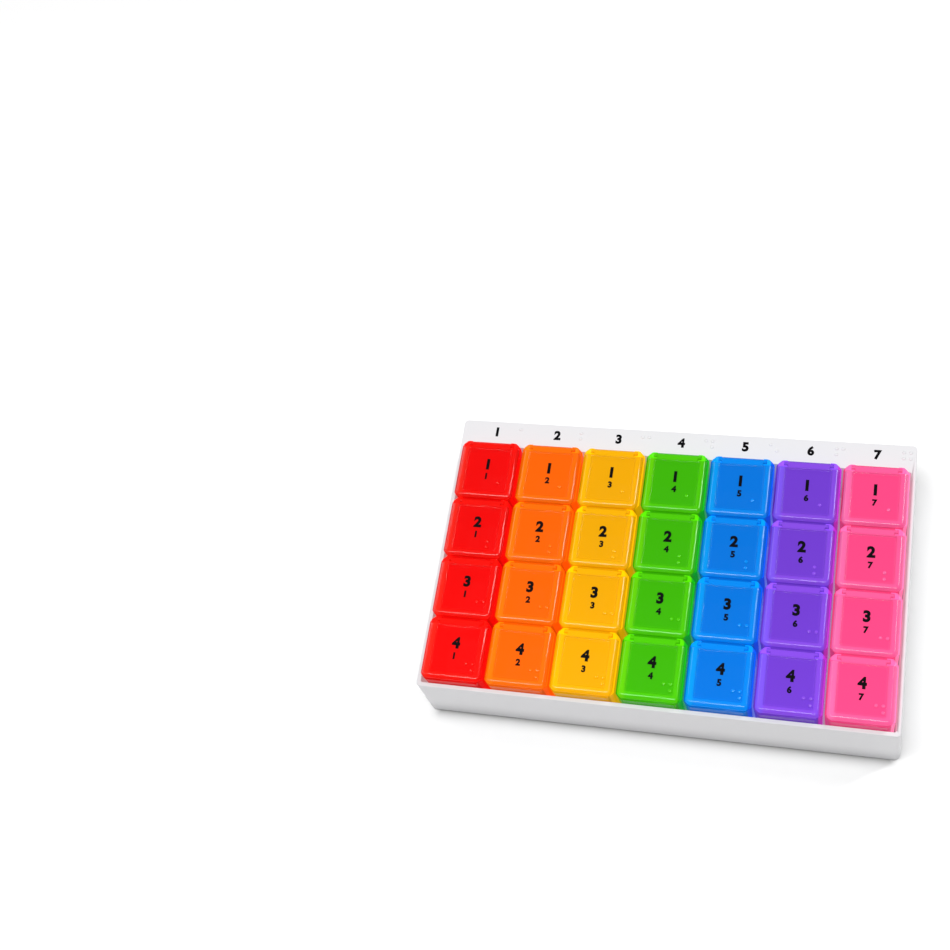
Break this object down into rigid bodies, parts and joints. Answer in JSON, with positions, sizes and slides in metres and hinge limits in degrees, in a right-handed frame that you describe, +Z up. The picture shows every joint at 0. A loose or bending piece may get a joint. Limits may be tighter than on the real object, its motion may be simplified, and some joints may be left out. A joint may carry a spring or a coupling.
{
  "type": "weekly pill box",
  "caption": "Weekly pill box: a white tray holding lift-out strips of coloured translucent cups, each cup closed by a hinged snap lid, with a label ledge along the rear.",
  "frame": {"origin": "on the table, under the middle of the tray", "axes": "+X from the first day to the last, +Y from the bedtime cups to the label ledge, +Z up"},
  "size_m": [0.1808, 0.1156, 0.036],
  "materials": {
    "tray_white": "smooth white moulded plastic",
    "sunday_plastic": "glossy see-through coloured plastic",
    "monday_plastic": "glossy see-through coloured plastic",
    "tuesday_plastic": "glossy see-through coloured plastic",
    "wednesday_plastic": "glossy see-through coloured plastic",
    "thursday_plastic": "glossy see-through coloured plastic",
    "friday_plastic": "glossy see-through coloured plastic",
    "saturday_plastic": "glossy see-through coloured plastic"
  },
  "bodies": {
    "tray": {"tray": "tray_white"},
    "sunday_box": {"sunday_box": "sunday_plastic"},
    "sunday_morning_lid": {"sunday_morning_lid": "sunday_plastic"},
    "sunday_noon_lid": {"sunday_noon_lid": "sunday_plastic"},
    "sunday_evening_lid": {"sunday_evening_lid": "sunday_plastic"},
    "sunday_bedtime_lid": {"sunday_bedtime_lid": "sunday_plastic"},
    "monday_box": {"monday_box": "monday_plastic"},
    "monday_morning_lid": {"monday_morning_lid": "monday_plastic"},
    "monday_noon_lid": {"monday_noon_lid": "monday_plastic"},
    "monday_evening_lid": {"monday_evening_lid": "monday_plastic"},
    "monday_bedtime_lid": {"monday_bedtime_lid": "monday_plastic"},
    "tuesday_box": {"tuesday_box": "tuesday_plastic"},
    "tuesday_morning_lid": {"tuesday_morning_lid": "tuesday_plastic"},
    "tuesday_noon_lid": {"tuesday_noon_lid": "tuesday_plastic"},
    "tuesday_evening_lid": {"tuesday_evening_lid": "tuesday_plastic"},
    "tuesday_bedtime_lid": {"tuesday_bedtime_lid": "tuesday_plastic"},
    "wednesday_box": {"wednesday_box": "wednesday_plastic"},
    "wednesday_morning_lid": {"wednesday_morning_lid": "wednesday_plastic"},
    "wednesday_noon_lid": {"wednesday_noon_lid": "wednesday_plastic"},
    "wednesday_evening_lid": {"wednesday_evening_lid": "wednesday_plastic"},
    "wednesday_bedtime_lid": {"wednesday_bedtime_lid": "wednesday_plastic"},
    "thursday_box": {"thursday_box": "thursday_plastic"},
    "thursday_morning_lid": {"thursday_morning_lid": "thursday_plastic"},
    "thursday_noon_lid": {"thursday_noon_lid": "thursday_plastic"},
    "thursday_evening_lid": {"thursday_evening_lid": "thursday_plastic"},
    "thursday_bedtime_lid": {"thursday_bedtime_lid": "thursday_plastic"},
    "friday_box": {"friday_box": "friday_plastic"},
    "friday_morning_lid": {"friday_morning_lid": "friday_plastic"},
    "friday_noon_lid": {"friday_noon_lid": "friday_plastic"},
    "friday_evening_lid": {"friday_evening_lid": "friday_plastic"},
    "friday_bedtime_lid": {"friday_bedtime_lid": "friday_plastic"},
    "saturday_box": {"saturday_box": "saturday_plastic"},
    "saturday_morning_lid": {"saturday_morning_lid": "saturday_plastic"},
    "saturday_noon_lid": {"saturday_noon_lid": "saturday_plastic"},
    "saturday_evening_lid": {"saturday_evening_lid": "saturday_plastic"},
    "saturday_bedtime_lid": {"saturday_bedtime_lid": "saturday_plastic"}
  },
  "joints": [
    {"name": "sunday_box_lift", "type": "slide", "parent": "tray", "child": "sunday_box", "axis": [0, 0, 1], "range_m": [0, 0.045]},
    {"name": "sunday_morning_lid_hinge", "type": "hinge", "parent": "sunday_box", "child": "sunday_morning_lid", "pos_m": [-0.075, 0.04373, 0.0352], "axis": [-1, 0, 0], "range_deg": [0, 110]},
    {"name": "sunday_noon_lid_hinge", "type": "hinge", "parent": "sunday_box", "child": "sunday_noon_lid", "pos_m": [-0.075, 0.01873, 0.0352], "axis": [-1, 0, 0], "range_deg": [0, 110]},
    {"name": "sunday_evening_lid_hinge", "type": "hinge", "parent": "sunday_box", "child": "sunday_evening_lid", "pos_m": [-0.075, -0.00627, 0.0352], "axis": [-1, 0, 0], "range_deg": [0, 110]},
    {"name": "sunday_bedtime_lid_hinge", "type": "hinge", "parent": "sunday_box", "child": "sunday_bedtime_lid", "pos_m": [-0.075, -0.03127, 0.0352], "axis": [-1, 0, 0], "range_deg": [0, 110]},
    {"name": "monday_box_lift", "type": "slide", "parent": "tray", "child": "monday_box", "axis": [0, 0, 1], "range_m": [0, 0.045]},
    {"name": "monday_morning_lid_hinge", "type": "hinge", "parent": "monday_box", "child": "monday_morning_lid", "pos_m": [-0.05, 0.04373, 0.0352], "axis": [-1, 0, 0], "range_deg": [0, 110]},
    {"name": "monday_noon_lid_hinge", "type": "hinge", "parent": "monday_box", "child": "monday_noon_lid", "pos_m": [-0.05, 0.01873, 0.0352], "axis": [-1, 0, 0], "range_deg": [0, 110]},
    {"name": "monday_evening_lid_hinge", "type": "hinge", "parent": "monday_box", "child": "monday_evening_lid", "pos_m": [-0.05, -0.00627, 0.0352], "axis": [-1, 0, 0], "range_deg": [0, 110]},
    {"name": "monday_bedtime_lid_hinge", "type": "hinge", "parent": "monday_box", "child": "monday_bedtime_lid", "pos_m": [-0.05, -0.03127, 0.0352], "axis": [-1, 0, 0], "range_deg": [0, 110]},
    {"name": "tuesday_box_lift", "type": "slide", "parent": "tray", "child": "tuesday_box", "axis": [0, 0, 1], "range_m": [0, 0.045]},
    {"name": "tuesday_morning_lid_hinge", "type": "hinge", "parent": "tuesday_box", "child": "tuesday_morning_lid", "pos_m": [-0.025, 0.04373, 0.0352], "axis": [-1, 0, 0], "range_deg": [0, 110]},
    {"name": "tuesday_noon_lid_hinge", "type": "hinge", "parent": "tuesday_box", "child": "tuesday_noon_lid", "pos_m": [-0.025, 0.01873, 0.0352], "axis": [-1, 0, 0], "range_deg": [0, 110]},
    {"name": "tuesday_evening_lid_hinge", "type": "hinge", "parent": "tuesday_box", "child": "tuesday_evening_lid", "pos_m": [-0.025, -0.00627, 0.0352], "axis": [-1, 0, 0], "range_deg": [0, 110]},
    {"name": "tuesday_bedtime_lid_hinge", "type": "hinge", "parent": "tuesday_box", "child": "tuesday_bedtime_lid", "pos_m": [-0.025, -0.03127, 0.0352], "axis": [-1, 0, 0], "range_deg": [0, 110]},
    {"name": "wednesday_box_lift", "type": "slide", "parent": "tray", "child": "wednesday_box", "axis": [0, 0, 1], "range_m": [0, 0.045]},
    {"name": "wednesday_morning_lid_hinge", "type": "hinge", "parent": "wednesday_box", "child": "wednesday_morning_lid", "pos_m": [0, 0.04373, 0.0352], "axis": [-1, 0, 0], "range_deg": [0, 110]},
    {"name": "wednesday_noon_lid_hinge", "type": "hinge", "parent": "wednesday_box", "child": "wednesday_noon_lid", "pos_m": [0, 0.01873, 0.0352], "axis": [-1, 0, 0], "range_deg": [0, 110]},
    {"name": "wednesday_evening_lid_hinge", "type": "hinge", "parent": "wednesday_box", "child": "wednesday_evening_lid", "pos_m": [0, -0.00627, 0.0352], "axis": [-1, 0, 0], "range_deg": [0, 110]},
    {"name": "wednesday_bedtime_lid_hinge", "type": "hinge", "parent": "wednesday_box", "child": "wednesday_bedtime_lid", "pos_m": [0, -0.03127, 0.0352], "axis": [-1, 0, 0], "range_deg": [0, 110]},
    {"name": "thursday_box_lift", "type": "slide", "parent": "tray", "child": "thursday_box", "axis": [0, 0, 1], "range_m": [0, 0.045]},
    {"name": "thursday_morning_lid_hinge", "type": "hinge", "parent": "thursday_box", "child": "thursday_morning_lid", "pos_m": [0.025, 0.04373, 0.0352], "axis": [-1, 0, 0], "range_deg": [0, 110]},
    {"name": "thursday_noon_lid_hinge", "type": "hinge", "parent": "thursday_box", "child": "thursday_noon_lid", "pos_m": [0.025, 0.01873, 0.0352], "axis": [-1, 0, 0], "range_deg": [0, 110]},
    {"name": "thursday_evening_lid_hinge", "type": "hinge", "parent": "thursday_box", "child": "thursday_evening_lid", "pos_m": [0.025, -0.00627, 0.0352], "axis": [-1, 0, 0], "range_deg": [0, 110]},
    {"name": "thursday_bedtime_lid_hinge", "type": "hinge", "parent": "thursday_box", "child": "thursday_bedtime_lid", "pos_m": [0.025, -0.03127, 0.0352], "axis": [-1, 0, 0], "range_deg": [0, 110]},
    {"name": "friday_box_lift", "type": "slide", "parent": "tray", "child": "friday_box", "axis": [0, 0, 1], "range_m": [0, 0.045]},
    {"name": "friday_morning_lid_hinge", "type": "hinge", "parent": "friday_box", "child": "friday_morning_lid", "pos_m": [0.05, 0.04373, 0.0352], "axis": [-1, 0, 0], "range_deg": [0, 110]},
    {"name": "friday_noon_lid_hinge", "type": "hinge", "parent": "friday_box", "child": "friday_noon_lid", "pos_m": [0.05, 0.01873, 0.0352], "axis": [-1, 0, 0], "range_deg": [0, 110]},
    {"name": "friday_evening_lid_hinge", "type": "hinge", "parent": "friday_box", "child": "friday_evening_lid", "pos_m": [0.05, -0.00627, 0.0352], "axis": [-1, 0, 0], "range_deg": [0, 110]},
    {"name": "friday_bedtime_lid_hinge", "type": "hinge", "parent": "friday_box", "child": "friday_bedtime_lid", "pos_m": [0.05, -0.03127, 0.0352], "axis": [-1, 0, 0], "range_deg": [0, 110]},
    {"name": "saturday_box_lift", "type": "slide", "parent": "tray", "child": "saturday_box", "axis": [0, 0, 1], "range_m": [0, 0.045]},
    {"name": "saturday_morning_lid_hinge", "type": "hinge", "parent": "saturday_box", "child": "saturday_morning_lid", "pos_m": [0.075, 0.04373, 0.0352], "axis": [-1, 0, 0], "range_deg": [0, 110]},
    {"name": "saturday_noon_lid_hinge", "type": "hinge", "parent": "saturday_box", "child": "saturday_noon_lid", "pos_m": [0.075, 0.01873, 0.0352], "axis": [-1, 0, 0], "range_deg": [0, 110]},
    {"name": "saturday_evening_lid_hinge", "type": "hinge", "parent": "saturday_box", "child": "saturday_evening_lid", "pos_m": [0.075, -0.00627, 0.0352], "axis": [-1, 0, 0], "range_deg": [0, 110]},
    {"name": "saturday_bedtime_lid_hinge", "type": "hinge", "parent": "saturday_box", "child": "saturday_bedtime_lid", "pos_m": [0.075, -0.03127, 0.0352], "axis": [-1, 0, 0], "range_deg": [0, 110]}
  ]
}
